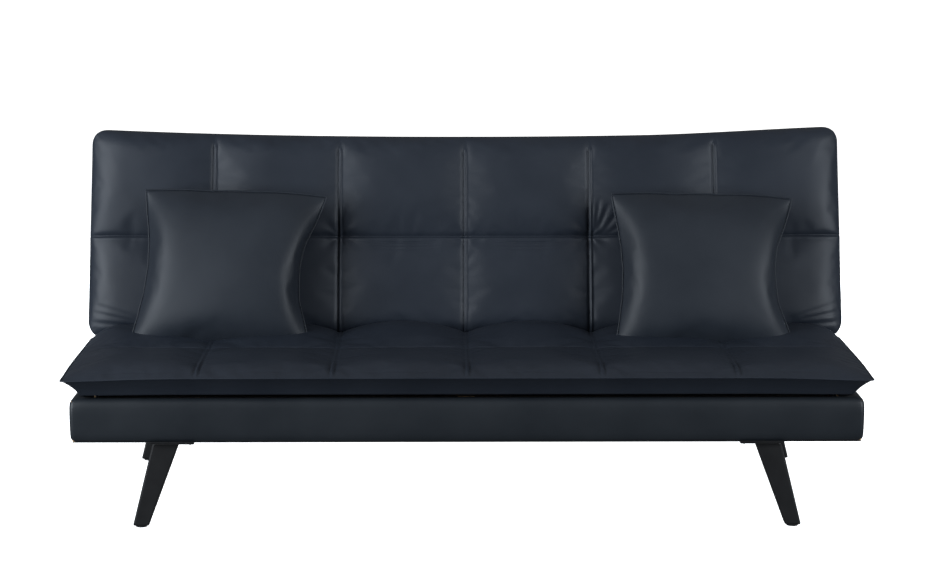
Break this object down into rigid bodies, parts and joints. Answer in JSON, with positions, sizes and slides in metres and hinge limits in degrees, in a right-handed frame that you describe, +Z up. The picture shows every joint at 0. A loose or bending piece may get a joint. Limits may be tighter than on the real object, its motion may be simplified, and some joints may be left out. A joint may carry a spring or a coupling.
{
  "type": "futon sofa bed",
  "caption": "Armless sofa bed whose tufted faux leather seat slides forward on swing links while the back folds flat; box base on splayed tapered legs, loose cushions.",
  "frame": {"origin": "on the floor, under the centre of the bounding box with the sofa upright", "axes": "+X along the width, front of the sofa faces -Y, +Z up"},
  "size_m": [1.8, 0.689, 0.8274],
  "materials": {
    "pad_leather": "semi-gloss",
    "pillow_leather": "semi-gloss",
    "base_leather": "semi-gloss",
    "leg_paint": "matte black paint",
    "glide_plastic": "matte",
    "lining_cloth": "non-woven cloth",
    "rail_timber": "sawn",
    "deck_plywood": "sanded",
    "frame_tube": "satin black powder coat",
    "fold_steel": "zinc plated"
  },
  "bodies": {
    "base": {"base_front_rail": "rail_timber", "base_rear_rail": "rail_timber", "base_left_rail": "rail_timber", "base_right_rail": "rail_timber", "base_centre_rail": "rail_timber", "dust_cover": "lining_cloth", "corner_block_front_left": "rail_timber", "corner_block_front_right": "rail_timber", "corner_block_rear_left": "rail_timber", "corner_block_rear_right": "rail_timber", "base_cover_front": "base_leather", "base_cover_rear": "base_leather", "base_cover_left": "base_leather", "base_cover_right": "base_leather", "leg_front_left": "leg_paint", "leg_front_right": "leg_paint", "leg_rear_left": "leg_paint", "leg_rear_right": "leg_paint", "glide_front_left": "glide_plastic", "glide_front_right": "glide_plastic", "glide_rear_left": "glide_plastic", "glide_rear_right": "glide_plastic", "base_bracket_left": "fold_steel", "base_bracket_right": "fold_steel", "front_link_lower_pin_left": "fold_steel", "front_link_lower_pin_right": "fold_steel", "rear_link_lower_pin_left": "fold_steel", "rear_link_lower_pin_right": "fold_steel"},
    "front_links": {"front_link_left": "fold_steel", "front_link_right": "fold_steel", "link_cross_tube": "frame_tube"},
    "rear_links": {"rear_link_left": "fold_steel", "rear_link_right": "fold_steel", "rear_link_upper_pin_left": "fold_steel", "rear_link_upper_pin_right": "fold_steel"},
    "seat": {"seat_pad": "pad_leather", "seat_deck": "deck_plywood", "seat_front_tube": "frame_tube", "seat_rear_tube": "frame_tube", "seat_left_tube": "frame_tube", "seat_right_tube": "frame_tube", "seat_arm_left": "fold_steel", "seat_arm_right": "fold_steel", "front_link_upper_pin_left": "fold_steel", "front_link_upper_pin_right": "fold_steel", "back_hinge_pin_left": "fold_steel", "back_hinge_pin_right": "fold_steel"},
    "back": {"back_pad": "pad_leather", "back_rear_panel": "lining_cloth", "back_deck": "deck_plywood", "back_lower_tube": "frame_tube", "back_upper_tube": "frame_tube", "back_left_tube": "frame_tube", "back_right_tube": "frame_tube", "back_arm_left": "fold_steel", "back_arm_right": "fold_steel"},
    "left_pillow": {"left_pillow": "pillow_leather"},
    "right_pillow": {"right_pillow": "pillow_leather"}
  },
  "joints": [
    {"name": "fold_to_bed", "type": "hinge", "parent": "base", "child": "front_links", "pos_m": [0, -0.1445, 0.225], "axis": [1, 0, 0], "range_deg": [0, 97]},
    {"name": "rear_link_swing", "type": "hinge", "parent": "base", "child": "rear_links", "pos_m": [0, 0.03267, 0.22191], "axis": [1, 0, 0], "range_deg": [0, 97.5]},
    {"name": "seat_level", "type": "hinge", "parent": "front_links", "child": "seat", "pos_m": [0, -0.05462, 0.30451], "axis": [-1, 0, 0], "range_deg": [0, 95.2]},
    {"name": "back_recline", "type": "hinge", "parent": "seat", "child": "back", "pos_m": [0, 0.18718, 0.33343], "axis": [-1, 0, 0], "range_deg": [0, 79.2]},
    {"name": "left_pillow_lift", "type": "slide", "parent": "back", "child": "left_pillow", "axis": [0, -0.9744, 0.225], "range_m": [0, 0.3]},
    {"name": "right_pillow_lift", "type": "slide", "parent": "back", "child": "right_pillow", "axis": [0, -0.9744, 0.225], "range_m": [0, 0.3]}
  ],
  "couplings": [
    {"joint": "rear_link_swing", "follows": "fold_to_bed", "ratio": 1},
    {"joint": "seat_level", "follows": "fold_to_bed", "ratio": 0.97938},
    {"joint": "back_recline", "follows": "fold_to_bed", "ratio": 0.81443}
  ]
}
